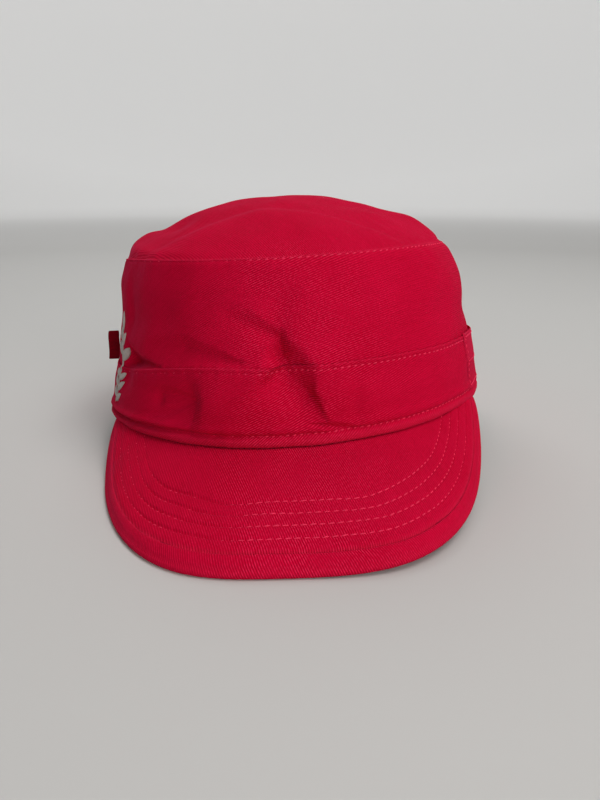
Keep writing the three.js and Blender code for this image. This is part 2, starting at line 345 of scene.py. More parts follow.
class Socket:  # a shader socket that Python maths can be written on
    def __init__(self, graph, made, output):
        self.graph, self.made, self.output = graph, made, output

    def pick(self, output):
        return Socket(self.graph, self.made, output)

    def maths(self, operation, first, second=0.0):
        return self.graph.node("ShaderNodeMath", {"operation": operation}, {0: first, 1: second})

    def __add__(self, other):
        return self.maths("ADD", self, other)

    def __sub__(self, other):
        return self.maths("SUBTRACT", self, other)

    def __rsub__(self, other):
        return self.maths("SUBTRACT", other, self)

    def __mul__(self, other):
        return self.maths("MULTIPLY", self, other)

    def __truediv__(self, other):
        return self.maths("DIVIDE", self, other)

    def __pow__(self, other):
        return self.maths("POWER", self, other)

    __radd__, __rmul__ = __add__, __mul__

    def floor(self):
        return self.maths("FLOOR", self)

    def wave(self):  # 0 to 1, one wave a unit
        return self.maths("SINE", self * (2 * np.pi)) * 0.5 + 0.5

    def size(self):
        return self.maths("ABSOLUTE", self)

    def clamped(self):
        return self.maths("MINIMUM", self.maths("MAXIMUM", self, 0.0), 1.0)


class Finish:  # one material's nodes
    def __init__(self, name):
        self.material = bpy.data.materials.new(name)
        self.material.use_nodes = True
        self.tree = self.material.node_tree
        self.tree.nodes.clear()

    def node(self, kind, settings, sockets, output=0):
        made = self.tree.nodes.new(kind)
        for key, value in settings.items():
            setattr(made, key, value)
        for key, value in sockets.items():
            if isinstance(value, Socket):
                self.tree.links.new(value.made.outputs[value.output], made.inputs[key])
            else:
                made.inputs[key].default_value = value
        return Socket(self, made, output)

    def cloth(self):  # the two coordinates of the piece's map
        uv = self.node("ShaderNodeUVMap", {"uv_map": "cloth"}, {})
        split = self.node("ShaderNodeSeparateXYZ", {}, {0: uv})
        return split.pick(0), split.pick(1)

    def place(self):
        return self.node("ShaderNodeTexCoord", {}, {}, "Object")

    def value(self, name):  # a value that each point of the mesh carries
        return self.node("ShaderNodeAttribute", {"attribute_name": name}, {}, "Fac")

    def bump(self, distance, height):
        return self.node("ShaderNodeBump", {}, {"Strength": 1.0, "Distance": distance, "Height": height})

    def noise(self, vector, scale, detail=2.0):
        return self.node("ShaderNodeTexNoise", {}, {"Vector": vector, "Scale": scale, "Detail": detail})

    def mixed(self, factor, first, second):
        settings = {"data_type": "RGBA", "clamp_factor": True}
        return self.node("ShaderNodeMix", settings, {0: factor, 6: first, 7: second}, 2)

    def vector(self, x, y, z=0.0):
        return self.node("ShaderNodeCombineXYZ", {}, {0: x, 1: y, 2: z})

    def close(self, sockets):
        surface = self.node("ShaderNodeBsdfPrincipled", {}, sockets)
        self.node("ShaderNodeOutputMaterial", {}, {"Surface": surface})
        return self.material


twillLook = {
    "pitch": 0.845, "floatLength": 2.6, "floatStep": 0.37,  # mm between wales, mm of a float, floats a wale
    # the first two colours are one red, lightened by painted light on the floats and darkened by painted
    # shade between the wales; the third is worn cloth and also the painted highlight on the floats
    "lit": (0.720, 0.0045, 0.0530, 1), "shaded": (0.410, 0.0006, 0.0140, 1), "wornAndHighlight": (0.880, 0.046, 0.130, 1),
    "wander": 0.28, "drift": (0.05, 0.12),  # mm that a wale wanders, noise cells a mm along and across
    "slip": 3.0, "slipCells": (0.16, 2.7), "slubCells": (0.11, 3.1),  # noise cells a mm along, a wale across
    "fibreCells": (1.1, 4.5), "patchCells": (0.07, 0.09), "fadeCells": 26.0,
    "wholeWale": 0.7, "tone": 0.43, "middle": 0.42, "slub": 0.35, "fibre": 0.3, "fade": 0.4,
    "faint": 0.4, "clear": 1.05,  # the weave's painted light and shade at the sides, and what is added at the front
    "patchGain": 3.4, "patchLess": 1.2, "patchShare": 0.8, "patchLeast": 0.3,  # it comes and goes in patches
    # gleam: a painted highlight on the tops of the floats
    "gleam": 0.6, "gleamGain": 3.0, "gleamLess": 2.1, "rubLeast": 0.35, "rubShare": 0.5,
    "bump": 0.00017, "bumpWeave": 0.8, "bumpFibre": 0.25, "bumpSlub": 0.2,
    "roughness": 0.9, "uneven": 0.12, "specular": 0.02,
    "sheen": 0.10, "sheenRoughness": 0.3, "sheenTint": (1.0, 0.15, 0.50, 1),
}


def twillCloth(name, look):
    # wales are a sine across the cloth, broken along their length into floats that step from wale to wale;
    # the lit floats are painted light and the dark between the wales is painted shade
    f = Finish(name)
    along, across = f.cloth()
    rub, litWeave = f.value("rub"), f.value("litWeave")

    def spots(cells, other, detail=2.0, layer=0.0):  # noise with so many cells along and across
        return f.noise(f.vector(along * cells[0], other * cells[1], layer), 1.0, detail)

    wander = (spots(look["drift"], across, detail=3.0) - 0.5) * (2 * look["wander"] / look["pitch"])
    wale = across / look["pitch"] + wander
    number = wale.floor()
    ridge = wale.wave()
    slip = spots(look["slipCells"], number) * look["slip"]
    yarn = (along / look["floatLength"] + number * look["floatStep"] + slip).wave()
    weave = ridge * (look["wholeWale"] + (1 - look["wholeWale"]) * yarn)
    slub = spots(look["slubCells"], number)
    fibre = spots(look["fibreCells"], across)
    patch = spots(look["patchCells"], across, detail=3.0, layer=4.0)
    fade = f.noise(f.place(), look["fadeCells"], detail=3.0)
    shown = (patch * look["patchGain"] - look["patchLess"]).clamped()
    shown = shown * look["patchShare"] + look["patchLeast"]
    clear = shown * (look["faint"] + look["clear"] * litWeave)
    # the weave's share of the tone is painted light on the floats and painted shade between the wales; slub,
    # fibre and fade are the cloth's own uneven tone
    tone = look["tone"] + (weave - look["middle"]) * clear
    tone = tone + (slub - 0.5) * look["slub"] + (fibre - 0.5) * look["fibre"] + (fade - 0.5) * look["fade"]
    colour = f.mixed(tone.clamped(), look["shaded"], look["lit"])
    # a painted highlight: the brightest floats are mixed towards the pale pink, most at the middle of the
    # front
    gleam = (weave * look["gleamGain"] - look["gleamLess"]).clamped() * shown * litWeave * look["gleam"]
    colour = f.mixed(gleam.clamped(), colour, look["wornAndHighlight"])
    # rubbed cloth, mixed towards the same pale pink; along the visor's ridge this is also a painted
    # highlight
    rubbed = rub * (look["rubLeast"] + (1 - look["rubLeast"]) * weave) * (0.5 + fibre) * look["rubShare"]
    colour = f.mixed(rubbed.clamped(), colour, look["wornAndHighlight"])
    height = weave * look["bumpWeave"] + fibre * look["bumpFibre"] + slub * look["bumpSlub"]
    return f.close({
        "Base Color": colour, "Roughness": look["roughness"] + (fibre - 0.5) * look["uneven"],
        "Normal": f.bump(look["bump"], height),
        "Specular IOR Level": look["specular"], "Sheen Weight": look["sheen"],
        "Sheen Roughness": look["sheenRoughness"], "Sheen Tint": look["sheenTint"],
    })


def stripedFinish(name, look, stripesAt):
    # light and dark stripes: a sine of the stripes counted over the piece's map, with flecks on them
    f = Finish(name)
    stripe = stripesAt(*f.cloth()).wave()
    fleck = f.noise(f.place(), look["fleckCells"])
    tone = stripe * look["stripeShare"] + fleck * look["fleckShare"]
    colour = f.mixed(tone.clamped(), look["shade"], look["colour"])
    return f.close({
        "Base Color": colour, "Roughness": look["roughness"] + fleck * look["uneven"],
        "Normal": f.bump(look["bump"], stripe), "Specular IOR Level": look["specular"],
    })


threadLook = {
    "colour": (0.96, 0.050, 0.140, 1), "shade": (0.68, 0.014, 0.056, 1), "turns": 2.4,  # ply turns a mm
    "stripeShare": 0.7, "fleckShare": 0.4, "fleckCells": 900.0, "bump": 0.00006,
    "roughness": 0.6, "uneven": 0.15, "specular": 0.06,
}
ribbonLook = {
    "colour": (0.24, 0.001, 0.010, 1), "shade": (0.10, 0.0005, 0.004, 1), "ribs": 1.6,  # ribs a mm
    "stripeShare": 0.6, "fleckShare": 0.5, "fleckCells": 700.0, "bump": 0.00012,
    "roughness": 0.7, "uneven": 0.2, "specular": 0.04,
}
satinLook = {
    "colour": (0.66, 0.61, 0.57, 1), "shade": (0.34, 0.29, 0.27, 1), "pitch": 0.42, "slant": 0.7,
    "stripeShare": 0.65, "fleckShare": 0.45, "fleckCells": 650.0, "bump": 0.00012,
    "roughness": 0.45, "uneven": 0.15, "specular": 0.35,
}


def plyTurns(along, around):  # slanting turns along each stitch
    return along * threadLook["turns"] + around


def ribbonRibs(around, up):  # ribs across the ribbon
    return up * ribbonLook["ribs"]


def satinStrands(along, across):  # strands side by side, slanting out from the middle of each leaf
    return (along - across.size() * satinLook["slant"]) / satinLook["pitch"]


crownTwill = twillCloth("crownTwill", twillLook)
visorTwill = twillCloth("visorTwill", twillLook)
redThread = stripedFinish("redThread", threadLook, plyTurns)
darkRibbon = stripedFinish("darkRibbon", ribbonLook, ribbonRibs)
paleSatin = stripedFinish("paleSatin", satinLook, satinStrands)
print("finishes made")

crownSideLook = {
    "tuckRise": 25.8, "faceRows": 60, "seamRows": 16, "backRows": 14, "lipRound": 0.6, "lipSteps": 9,
    "wale": 18, "waleTurn": 0.33, "footFrom": 28.6, "footOver": 2.0, "footOut": 0.8,
    "seamFrom": 69.0, "seamRow": 73.3, "seamGroove": 0.25, "seamWidth": 0.6, "wear": 0.25, "wearReach": 0.7,
    "footRipple": 40,  # mm that the foot's ripples are shifted by
}


def crownFace(rise):  # a groove under the seam's stitches, and a foot turned out into the band
    look = crownSideLook
    groove = look["seamGroove"] * bell(rise - look["seamRow"], look["seamWidth"])
    foot = look["footOut"] * smoothStep((look["footFrom"] - rise) / look["footOver"])
    return foot - hatForm["seamGap"] - groove


def makeCrownSide(look):
    # profile (rise, offset): up the face, over a round lip, down the back; carried round the hat
    outer, thick = -hatForm["seamGap"], hatForm["crownCloth"]
    top = hatForm["bandRise"] + hatForm["crownRise"]
    lip = bendSteps(look["lipSteps"])
    face = np.concatenate([
        np.linspace(look["tuckRise"], look["seamFrom"], look["faceRows"]),
        np.linspace(look["seamFrom"], top - look["lipRound"], look["seamRows"])[1:],
    ])
    rise = np.concatenate([
        face, top - look["lipRound"] + look["lipRound"] * np.sin(lip),
        np.linspace(top - look["lipRound"], look["tuckRise"], look["backRows"]),
        [look["tuckRise"]],
    ])
    offset = np.concatenate([
        crownFace(face), outer - thick / 2 + thick / 2 * np.cos(lip),
        np.full(look["backRows"], outer - thick), crownFace(face[:1]),
    ])
    angle = wallColumns(hatForm["columns"], hatForm["crowding"])[:, None]
    side = angle * hatForm["meanRadius"]
    ripple = seamPucker(side, top - rise) + seamPucker(side + look["footRipple"], rise - hatForm["bandRise"])
    points = wallAt(angle, levelAt(rise)[None, :], offset[None, :] + ripple)
    up = profileLength(rise, offset)
    rub = look["wear"] * bell(rise - top, look["wearReach"])[None, :] + 0 * side
    uv = waleUv(side, up - waleBend(angle, look["waleTurn"]), look["wale"])
    gridPiece("crownSide", points, uv, rub, crownTwill, "crown_side",
              roundU=True, roundV=True)


bandLook = {
    "hemRound": 0.8, "topRound": 0.4, "bendSteps": 9, "hemStrip": 4.0, "hemRoll": 0.5,
    "hemRow": 4.5, "topRow": 29.0, "hemGroove": 0.75, "hemWidth": 0.75, "topGroove": 0.22, "topWidth": 0.7,
    "puff": 0.4, "puffAbove": 2.6, "puffReach": 1.8, "slackAngle": -51, "slackReach": 24,
    "slackWider": 0.3, "slackDeeper": 2.4, "slackPuff": 3.0,  # what slack adds to the groove and puff
    "thinFrom": 18.0, "thinBy": 0.8, "wale": 22, "waleTurn": 0.25, "hemWale": 40, "hemRipple": 90,
    "stripRows": 18, "lowRows": 16, "lowTo": 9, "faceRows": 24, "faceTo": 26, "foldRows": 18, "backRows": 12,
    "wear": [(31.0, 0.6, 0.25), (0.0, 1.0, 0.6), (2.3, 1.2, 0.3)],  # rise, reach, share
}


def bandOuter(rise):  # the face's distance out: full cloth low down, pressed thinner towards the top fold
    share = (rise - bandLook["thinFrom"]) / (hatForm["bandRise"] - bandLook["thinFrom"])
    return hatForm["bandCloth"] - bandLook["thinBy"] * smoothStep(share)


def bandFace(angle, rise):  # the face with its rolled hem, stitched grooves and the slack cloth over them
    look = bandLook
    strip = np.sin(np.pi * np.clip(rise / look["hemStrip"], 0, 1))
    slack = nearAngle(angle, look["slackAngle"], look["slackReach"])
    groove = look["hemGroove"] * bell(rise - look["hemRow"], look["hemWidth"] + look["slackWider"] * slack)
    puff = look["puff"] * bell(rise - look["hemRow"] - look["puffAbove"], look["puffReach"])
    top = look["topGroove"] * bell(rise - look["topRow"], look["topWidth"])
    slackened = puff * (1 + look["slackPuff"] * slack) - groove * (1 + look["slackDeeper"] * slack)
    return bandOuter(rise) + look["hemRoll"] * strip + slackened - top


def makeBand(look):
    # profile: round the folded hem, up the face, over the folded top edge, down the back
    low, high = look["hemRound"], look["topRound"]
    height = hatForm["bandRise"]
    bend = bendSteps(look["bendSteps"])
    strip = np.linspace(low, look["hemRow"], look["stripRows"])
    face = np.concatenate([
        strip, np.linspace(look["hemRow"], look["lowTo"], look["lowRows"]),
        np.linspace(look["lowTo"], look["faceTo"], look["faceRows"])[1:],
        np.linspace(look["faceTo"], height - high, look["foldRows"])[1:],
    ])
    back = np.linspace(height - high, low, look["backRows"])
    topThick = bandOuter(face[-1])
    rise = np.concatenate([
        face, height - high + high * np.sin(bend), back, low - low * np.sin(bend), face[:1],
    ])
    flat = np.concatenate([
        0 * face, topThick / 2 + topThick / 2 * np.cos(bend), 0 * back, low - low * np.cos(bend), [0],
    ])
    onFace = np.concatenate([np.ones(len(face)), np.zeros(len(rise) - len(face) - 1), [1]])[None, :]
    angle = wallColumns(hatForm["columns"], hatForm["crowding"])[:, None]
    side = angle * hatForm["meanRadius"]
    ripple = seamPucker(side, rise - look["topRow"])
    ripple = ripple + seamPucker(side + look["hemRipple"], rise - look["hemRow"])
    push = flat[None, :] + onFace * (bandFace(angle, rise[None, :]) + ripple)
    points = wallAt(angle, levelAt(rise)[None, :], push)
    up = profileLength(rise, push[0])
    rub = sum(share * bell(rise - place, reach) for place, reach, share in look["wear"])[None, :] + 0 * side
    uv = waleUv(side, up - waleBend(angle, look["waleTurn"]), look["wale"])
    uv[:, :len(strip)] = waleUv(side, up + 0 * side, look["hemWale"])[:, :len(strip)]
    gridPiece("hatBand", points, uv, rub, crownTwill, "band", roundU=True, roundV=True)


# The top panel: height * (1 - radius ^ power) above the seam, about a peak set off centre.
domeLook = {
    "height": 28.0, "power": 2.26, "peakShiftX": -5.4, "dentFade": 4, "foldFade": 8, "slackShift": 300,
    "columns": 420, "crowding": 0.3, "rows": 84, "rimFrom": 0.93, "rimRows": 18, "backRows": 20,
    "rimRound": 0.5, "tuck": 0.5, "insetLeft": 1.2, "insetRight": 0.9, "rimRipple": 17, "rippleFrom": 0.5,
    "wale": 124, "stretch": 1.12, "wear": 0.3, "wearReach": 0.8,
    "steepFrom": 1.3, "steepReach": 7.5, "broadAt": 12, "broadReach": 6.0,  # mm in from the rim
    "flangeDepth": 0.9, "flangeDrops": (2.8, 1.3),  # the sewn edge: mm into the wall, mm below its top
    "shoulders": [(-84, 42, 4.6, 1.2), (92, 34, 2.8, 0.6)],  # angle, reach, steep part, broad part
    "dents": [  # angle, radius, depth, spread
        (-108, 0.62, -4.9, 12.8), (-80, 0.93, 9.0, 9.5), (85, 0.86, 7.3, 12.5), (40, 0.50, -1.6, 20.0),
        (-58, 0.70, -1.6, 7.0),
    ],
    "creases": [  # in plan: from, to, depths, climbs, fall, softness
        (-66, -45, -10, -33, 2.2, 1.0, 18.0, 30.0, 5.0, 1.0),
        (-10, -33, 46, -48, 1.0, 2.4, 30.0, 15.0, 3.5, 1.0),
        (26, -27, 47, -36, 0.3, 0.8, 3.0, 3.0, 2.0, 0.4),
        (61, -20, 57, -40, 1.4, 0.5, 4.0, 3.0, 1.6, 0.4),
    ],
}


def domeAt(angle, radius, inset, level):
    # straight from the peak to the rim in plan; raised by the dome's curve, dents, creases and shoulders
    angle, radius, level = np.broadcast_arrays(angle, radius, level)
    seam, look = hatForm["topSeam"], domeLook
    peakZ = seam["height"] + hatForm["seamGap"]
    peak = np.array([seam["shiftX"] + look["peakShiftX"], seam["shiftY"], peakZ])
    draw = look["insetLeft"] + (look["insetRight"] - look["insetLeft"]) * rightShare(angle)
    onFlange = level < 2
    inward = np.where(onFlange, look["flangeDepth"], hatForm["seamGap"] + draw + inset)
    rim = wallAt(angle, level, -inward)
    rim[..., 2] -= look["tuck"] * ~onFlange
    point = peak + (rim - peak) * radius[..., None]
    point[..., 2] += (look["height"] - inset) * (1 - radius ** look["power"])
    for middle, share, depth, spread in look["dents"]:
        place = ringAt("topSeam", np.radians(middle))
        dentX = seam["shiftX"] + (place[0] - seam["shiftX"]) * share
        dentY = seam["shiftY"] + (place[1] - seam["shiftY"]) * share
        away = np.hypot(point[..., 0] - dentX, point[..., 1] - dentY)
        point[..., 2] += depth * (1 - radius ** look["dentFade"]) * bell(away, spread)
    folds = np.zeros(point.shape[:-1])
    for row in look["creases"]:
        folds = np.minimum(folds, creaseAt(point[..., 0], point[..., 1], *row))
    waves = slackRelief(point[..., 0], point[..., 1] + look["slackShift"])
    point[..., 2] += (folds + waves) * (1 - radius ** look["foldFade"])
    fromRim = (1 - radius) * seam["halfWidth"]
    for middle, reach, steep, broad in look["shoulders"]:
        bulge = steep * (1 - np.exp(-fromRim / look["steepFrom"])) * bell(fromRim, look["steepReach"])
        bulge = bulge + broad * bell(fromRim - look["broadAt"], look["broadReach"])
        point[..., 2] += bulge * nearAngle(angle, middle, reach)
    ripple = seamPucker(angle * hatForm["meanRadius"] + look["rimRipple"], fromRim)
    point[..., 2] += ripple * (radius > look["rippleFrom"])
    return point


def makeCrownTop(look):
    # profile: from the peak's underside out to the rim, down its sewn edge, and back up the face to the peak
    thick, seam = hatForm["crownCloth"], hatForm["topSeam"]
    reach = 1 - look["rimRound"] / seam["halfWidth"]
    face = reach * np.concatenate([
        np.linspace(1, look["rimFrom"], look["rimRows"]), np.linspace(look["rimFrom"], 0, look["rows"])[1:],
    ])
    back = reach * np.linspace(0, 1, look["backRows"])
    flange = 2 - np.array(look["flangeDrops"]) / hatForm["crownRise"]
    radius = np.concatenate([back, 0 * flange + 1, face])[None, :]
    inset = np.concatenate([0 * back + thick, 0 * flange, 0 * face])[None, :]
    level = np.concatenate([0 * back + 2, flange, 0 * face + 2])[None, :]
    angle = wallColumns(look["columns"], look["crowding"])[:, None]
    points = domeAt(angle, radius, inset, level)
    uv = waleUv(points[..., 0], points[..., 1] * look["stretch"], look["wale"])
    rub = look["wear"] * bell((1 - radius) * seam["halfWidth"], look["wearReach"]) + 0 * angle
    gridPiece("crownTop", points, uv, rub, crownTwill, "crown_top", roundU=True)


sunkPlace = {"leftFrom": -7.0, "leftOver": 20.0, "rightFrom": 25.0, "rightOver": 60.0}


def leftShare(x):  # 0 from the middle to the right, 1 at the left, where stitches lie deeper in the cloth
    return smoothStep((sunkPlace["leftFrom"] - x) / sunkPlace["leftOver"])


def rightSunk(x):  # 0 from the middle to the left, 1 at the far right
    return smoothStep((x - sunkPlace["rightFrom"]) / sunkPlace["rightOver"])


# The peak's edge in plan: |x| ^ frontRound + |y| ^ sideRound = 1 between the two joins with the hem.
visorLook = {
    "joinAngle": 69.8, "tipY": visorTipY, "frontRound": 3.4, "sideRound": 1.53, "overhang": 0.5,
    "tipTop": 3.0, "tilt": 7.1, "cornerDrop": 1.0, "cornerPower": 8.3, "arch": 2.5,
    "fullAt": -35.0, "fullReach": 38.0, "fullBy": 2.1, "fullFade": 0.3,  # the edge is fuller at the left
    "columns": 380, "topRows": 130, "underRows": 40, "crowding": 1.25, "edgeSamples": 1600,
    "edgeRound": 1.4, "edgeSteps": 11, "wale": -71, "stripWale": -66,
    "rimBulge": 1.8, "rimReach": 26, "ridge": 6.0, "ridgeHeight": 0.75,  # the turned edge, mm from the edge
    "ridgeGroove": 1.5, "ridgeWidth": 0.5, "ridgeLeast": 0.1, "lip": 0.25, "lipAt": 2.2, "lipReach": 1.2,
    "ridgeLeft": -76.0, "ridgeFromLeft": 60.0, "ridgeRight": 74.0, "ridgeFromRight": 40.0,
    "rows": 4, "firstRow": 11.9, "rowStep": 6.1, "rowGroove": 0.28, "rowWidth": 0.55,  # the stitched rows
    "sideShare": 0.58, "rowMiddle": -0.05, "rowLeft": 0.263, "rowRight": 0.396, "rowPower": 2.74,
    "leftGroove": 2.8, "grooveEnd": -50.0, "grooveOver": 16.0, "grooveLess": 0.85,
    "ripple": 0.05, "rippleWave": 95, "rippleSway": 2, "swayWave": 11, "rippleReach": 11,
    "slackShift": 700, "slackShare": 0.5, "hemFade": 0.05, "joinFade": 0.06,
    # the ridge's line is worn cloth and a painted highlight along the ridge of the turned edge
    "ridgeWearAndHighlight": 0.5, "ridgeWearAndHighlightReach": 0.8, "edgeWear": 0.15, "edgeWearReach": 1.6,
}


def visorEdge(side):  # side runs from -1 at the left join to 1 at the right one
    look = visorLook
    join = np.radians(look["joinAngle"])
    left, right = ringAt("hem", -join), ringAt("hem", join)
    sine, cosine = np.sin(side * np.pi / 2), np.maximum(np.cos(side * np.pi / 2), 0)
    halfWidth = (right[0] - left[0]) / 2 + look["overhang"]
    x = (left[0] + right[0]) / 2 + halfWidth * np.sign(sine) * np.abs(sine) ** (2 / look["frontRound"])
    y = left[1] + (look["tipY"] - left[1]) * cosine ** (2 / look["sideRound"])
    fuller = look["fullBy"] * bell(x - look["fullAt"], look["fullReach"])
    y = y - fuller * smoothStep(cosine / look["fullFade"])
    corner = np.where(side < 0, left[2], right[2]) - look["cornerDrop"]
    rise = look["tipTop"] + (corner - look["tipTop"]) * np.abs(sine) ** look["cornerPower"]
    return np.stack([x, y, np.maximum(rise + look["tilt"] * sine * cosine, look["tipTop"])], -1)


def visorSheet(side, hem, inner, reach, drop):  # straight from hem to edge in plan, arched, less a drop
    sheet = hem[:, None] + (inner - hem)[:, None] * reach[None, :, None]
    cosine = np.maximum(np.cos(side * np.pi / 2), 0)[:, None]
    sheet[..., 2] += visorLook["arch"] * 4 * reach * (1 - reach) * cosine - drop
    return sheet


def visorGrid(look):
    # the top before its relief, and the plan distance to its edge, scaled up where the rows lie closer
    side = np.linspace(-1, 1, look["columns"] + 1)
    edge = visorEdge(side)
    way = np.gradient(edge[:, :2], axis=0)
    out = unit(np.stack([way[:, 1], -way[:, 0]], -1))
    inner = edge.copy()
    inner[:, :2] -= out * look["edgeRound"]
    hem = wallAt(side * np.radians(look["joinAngle"]), 0 * side, 0.0)
    hem[:, 2] -= hatForm["seamGap"]
    reach = 1 - (1 - np.linspace(0, 1, look["topRows"])) ** look["crowding"]
    top = visorSheet(side, hem, inner, reach, 0.0)
    fine = visorEdge(np.linspace(-1, 1, look["edgeSamples"]))[:, :2].astype(np.float32)
    plan = top[..., :2].astype(np.float32)
    away = np.stack([np.linalg.norm(line[:, None] - fine, axis=-1).min(-1) for line in plan])  # line by line
    turned = side - look["rowMiddle"]
    spread = np.abs(turned) / np.where(turned < 0, look["rowLeft"], look["rowRight"])
    share = look["sideShare"] + (1 - look["sideShare"]) * np.exp(-spread ** look["rowPower"])
    return side, edge, inner, out, hem, reach, top, away / share[:, None]


def visorRelief(look, side, edge, top, away, rows):
    # the turned edge: a bulge that dies out inland, a half-round roll on it, a groove and a lip behind it
    strip = np.clip(away / look["ridge"], 0, 1)
    inland = smoothStep((away - look["ridge"]) / look["rimReach"])
    relief = look["rimBulge"] * (1 - (1 - strip) ** 2) * (1 - inland)
    roundTop = np.sqrt(np.clip(1 - (2 * strip - 1) ** 2, 0, 1))
    relief += look["ridgeHeight"] * roundTop * (away < look["ridge"])
    fromLeft = smoothStep((edge[:, :1] - look["ridgeLeft"]) / look["ridgeFromLeft"])
    fromRight = smoothStep((look["ridgeRight"] - edge[:, :1]) / look["ridgeFromRight"])
    kept = look["ridgeLeast"] + (1 - look["ridgeLeast"]) * fromLeft * fromRight
    relief -= look["ridgeGroove"] * kept * bell(away - look["ridge"], look["ridgeWidth"])
    relief += look["lip"] * bell(away - look["ridge"] - look["lipAt"], look["lipReach"])
    # a groove under each row of stitches, deeper at the left and fading out at the far left; then soft waves
    ended = smoothStep((look["grooveEnd"] - top[..., 0]) / look["grooveOver"])
    rowGroove = look["rowGroove"] * (1 + look["leftGroove"] * leftShare(top[..., 0]))
    rowGroove = rowGroove * (1 - look["grooveLess"] * ended)
    relief -= rowGroove * bell(away[..., None] - rows, look["rowWidth"]).sum(-1)
    sway = look["rippleSway"] * np.sin(side * look["swayWave"])
    ripple = np.sin(side * look["rippleWave"] + sway)[:, None]
    ripple = ripple * bell(away - rows.mean(), look["rippleReach"])
    waves = slackRelief(top[..., 0] + look["slackShift"], top[..., 1])
    return relief + look["ripple"] * ripple + look["slackShare"] * waves


def visorFinish(look, points, edge, away, bends):
    # wales follow the edge on the turned strip and the plan elsewhere; wear lies on the edge, and on the
    # ridge wear together with a painted highlight
    onTop, onRoll = slice(look["topRows"]), slice(look["topRows"], look["topRows"] + bends)
    length = pathLength(points)
    onStrip = np.zeros(length.shape, bool)
    onStrip[:, onTop] = away < look["ridge"]
    onStrip[:, onRoll] = True
    fromRidge = length - np.where(onStrip, length, np.inf).min(1)[:, None]
    stripUv = waleUv(pathLength(edge)[:, None] + 0 * length, -fromRidge, look["stripWale"])
    uv = np.where(onStrip[..., None], stripUv, waleUv(points[..., 0], points[..., 1], look["wale"]))
    wear = np.zeros(length.shape)
    # the ridge's line is lightened: worn cloth and a painted highlight
    wear[:, onTop] = look["ridgeWearAndHighlight"] * bell(away - look["ridge"], look["ridgeWearAndHighlightReach"])
    wear[:, onTop] += look["edgeWear"] * bell(away, look["edgeWearReach"])
    wear[:, onRoll] = look["edgeWear"]
    return uv, wear


def makeVisor(look):
    # profile: out over the top, round the edge, back along the underside; swept from side to side
    side, edge, inner, out, hem, reach, top, away = visorGrid(look)
    rows = look["firstRow"] + look["rowStep"] * np.arange(look["rows"])
    fromJoin = np.clip((1 - np.abs(side)) / look["joinFade"], 0, 1)[:, None]
    fade = np.clip(reach / look["hemFade"], 0, 1) * fromJoin
    top[..., 2] += visorRelief(look, side, edge, top, away, rows) * fade
    board = hatForm["visorBoard"]
    bend = bendSteps(look["edgeSteps"])
    roll = inner[:, None] + np.concatenate([
        out[:, None] * (look["edgeRound"] * np.sin(bend))[None, :, None],
        np.broadcast_to((board / 2 * (np.cos(bend) - 1))[None, :, None], (len(side), len(bend), 1)),
    ], -1)
    under = visorSheet(side, hem, inner, np.linspace(1, 0, look["underRows"]), board)
    points = np.concatenate([top, roll, under], 1)
    if points.shape[1] % 2:  # the caps pair the points off, so their count is even
        points = np.concatenate([points[:, :-2], points[:, -1:]], 1)
    points = np.concatenate([points, points[:, :1]], 1)
    uv, wear = visorFinish(look, points, edge, away, len(bend))
    gridPiece("hatVisor", points, uv, wear, visorTwill, "visor", roundV=True, caps=True)
    return top, away, rows


strapLook = {
    "fromAngle": 62, "toAngle": 112, "fromRise": 4.8, "toRise": 32.2, "overBand": 30,
    "columns": 120, "rows": 44, "bendSteps": 8, "thick": 0.5, "clear": 0.06,
    "endRound": 0.16, "endThin": 0.96,
    "row": 1.8, "sewnAt": 0.9, "wale": 38,  # mm from the edge to the stitches, their share of the thickness
    "groove": 0.16, "grooveWidth": 0.6, "wear": 0.3, "edgeWear": 0.4, "edgeWearReach": 0.8,
    "lengthSamples": 200, "heightSamples": 120,
}


def strapFace(angle, rise, share):  # distance out at a share of the strap's thickness, over the band's face
    look = strapLook
    return bandOuter(np.minimum(rise, look["overBand"])) + look["clear"] + look["thick"] * share + 0 * angle


def makeSideStrap(look):
    # a flat strip wrapped over the band: rounded long edges, ends thinned to a round
    half = look["thick"] / 2
    bend = bendSteps(look["bendSteps"])
    face = np.linspace(look["fromRise"] + half, look["toRise"] - half, look["rows"])
    over, below = face[-1] + half * np.sin(bend), face[0] - half * np.sin(bend)
    rise = np.concatenate([face, over, face[::-1], below, face[:1]])
    push = np.concatenate([0 * face + 1, np.cos(bend), 0 * face - 1, -np.cos(bend), [1]])
    share = np.linspace(-1, 1, look["columns"] + 1)[:, None]
    nearEnd = np.clip((np.abs(share) - 1 + look["endRound"]) / look["endRound"], 0, 1)
    thin = np.sqrt(1 - look["endThin"] * nearEnd ** 2)
    middle, reach = (look["fromAngle"] + look["toAngle"]) / 2, (look["toAngle"] - look["fromAngle"]) / 2
    angle = np.radians(middle + share * reach)
    fromEdge = np.minimum(rise - look["fromRise"], look["toRise"] - rise)[None, :]
    fromEnd = (1 - np.abs(share)) * np.radians(reach) * hatForm["meanRadius"]
    near = np.minimum(fromEdge, fromEnd)
    middleRow = rise - (look["fromRise"] + look["toRise"]) / 2
    stitched = bell(near - look["row"], look["grooveWidth"]) + bell(middleRow, look["grooveWidth"])
    groove = look["groove"] * stitched * (push > 0)[None, :]
    out = strapFace(angle, rise[None, :], (0.5 + 0.5 * push[None, :]) * thin)
    points = wallAt(angle, levelAt(rise)[None, :], out - groove)
    side = angle * hatForm["meanRadius"]
    up = profileLength(rise, half * push)
    rub = look["wear"] * (middleRow > 0) + look["edgeWear"] * bell(near, look["edgeWearReach"])
    uv = waleUv(side, up + 0 * side, look["wale"])
    gridPiece("sideStrap", points, uv, rub, crownTwill, "side_strap", roundV=True, caps=True)


tabLook = {
    "angle": -82, "fromRise": 29.4, "toRise": 42.5, "inner": 1.1, "reach": 5.4, "thick": 1.5, "square": 5.0,
    "rows": 30, "steps": 41, "endPower": 14, "endDraw": 0.8, "endShort": 0.15, "twist": 0.25, "twistTurn": 2,
}


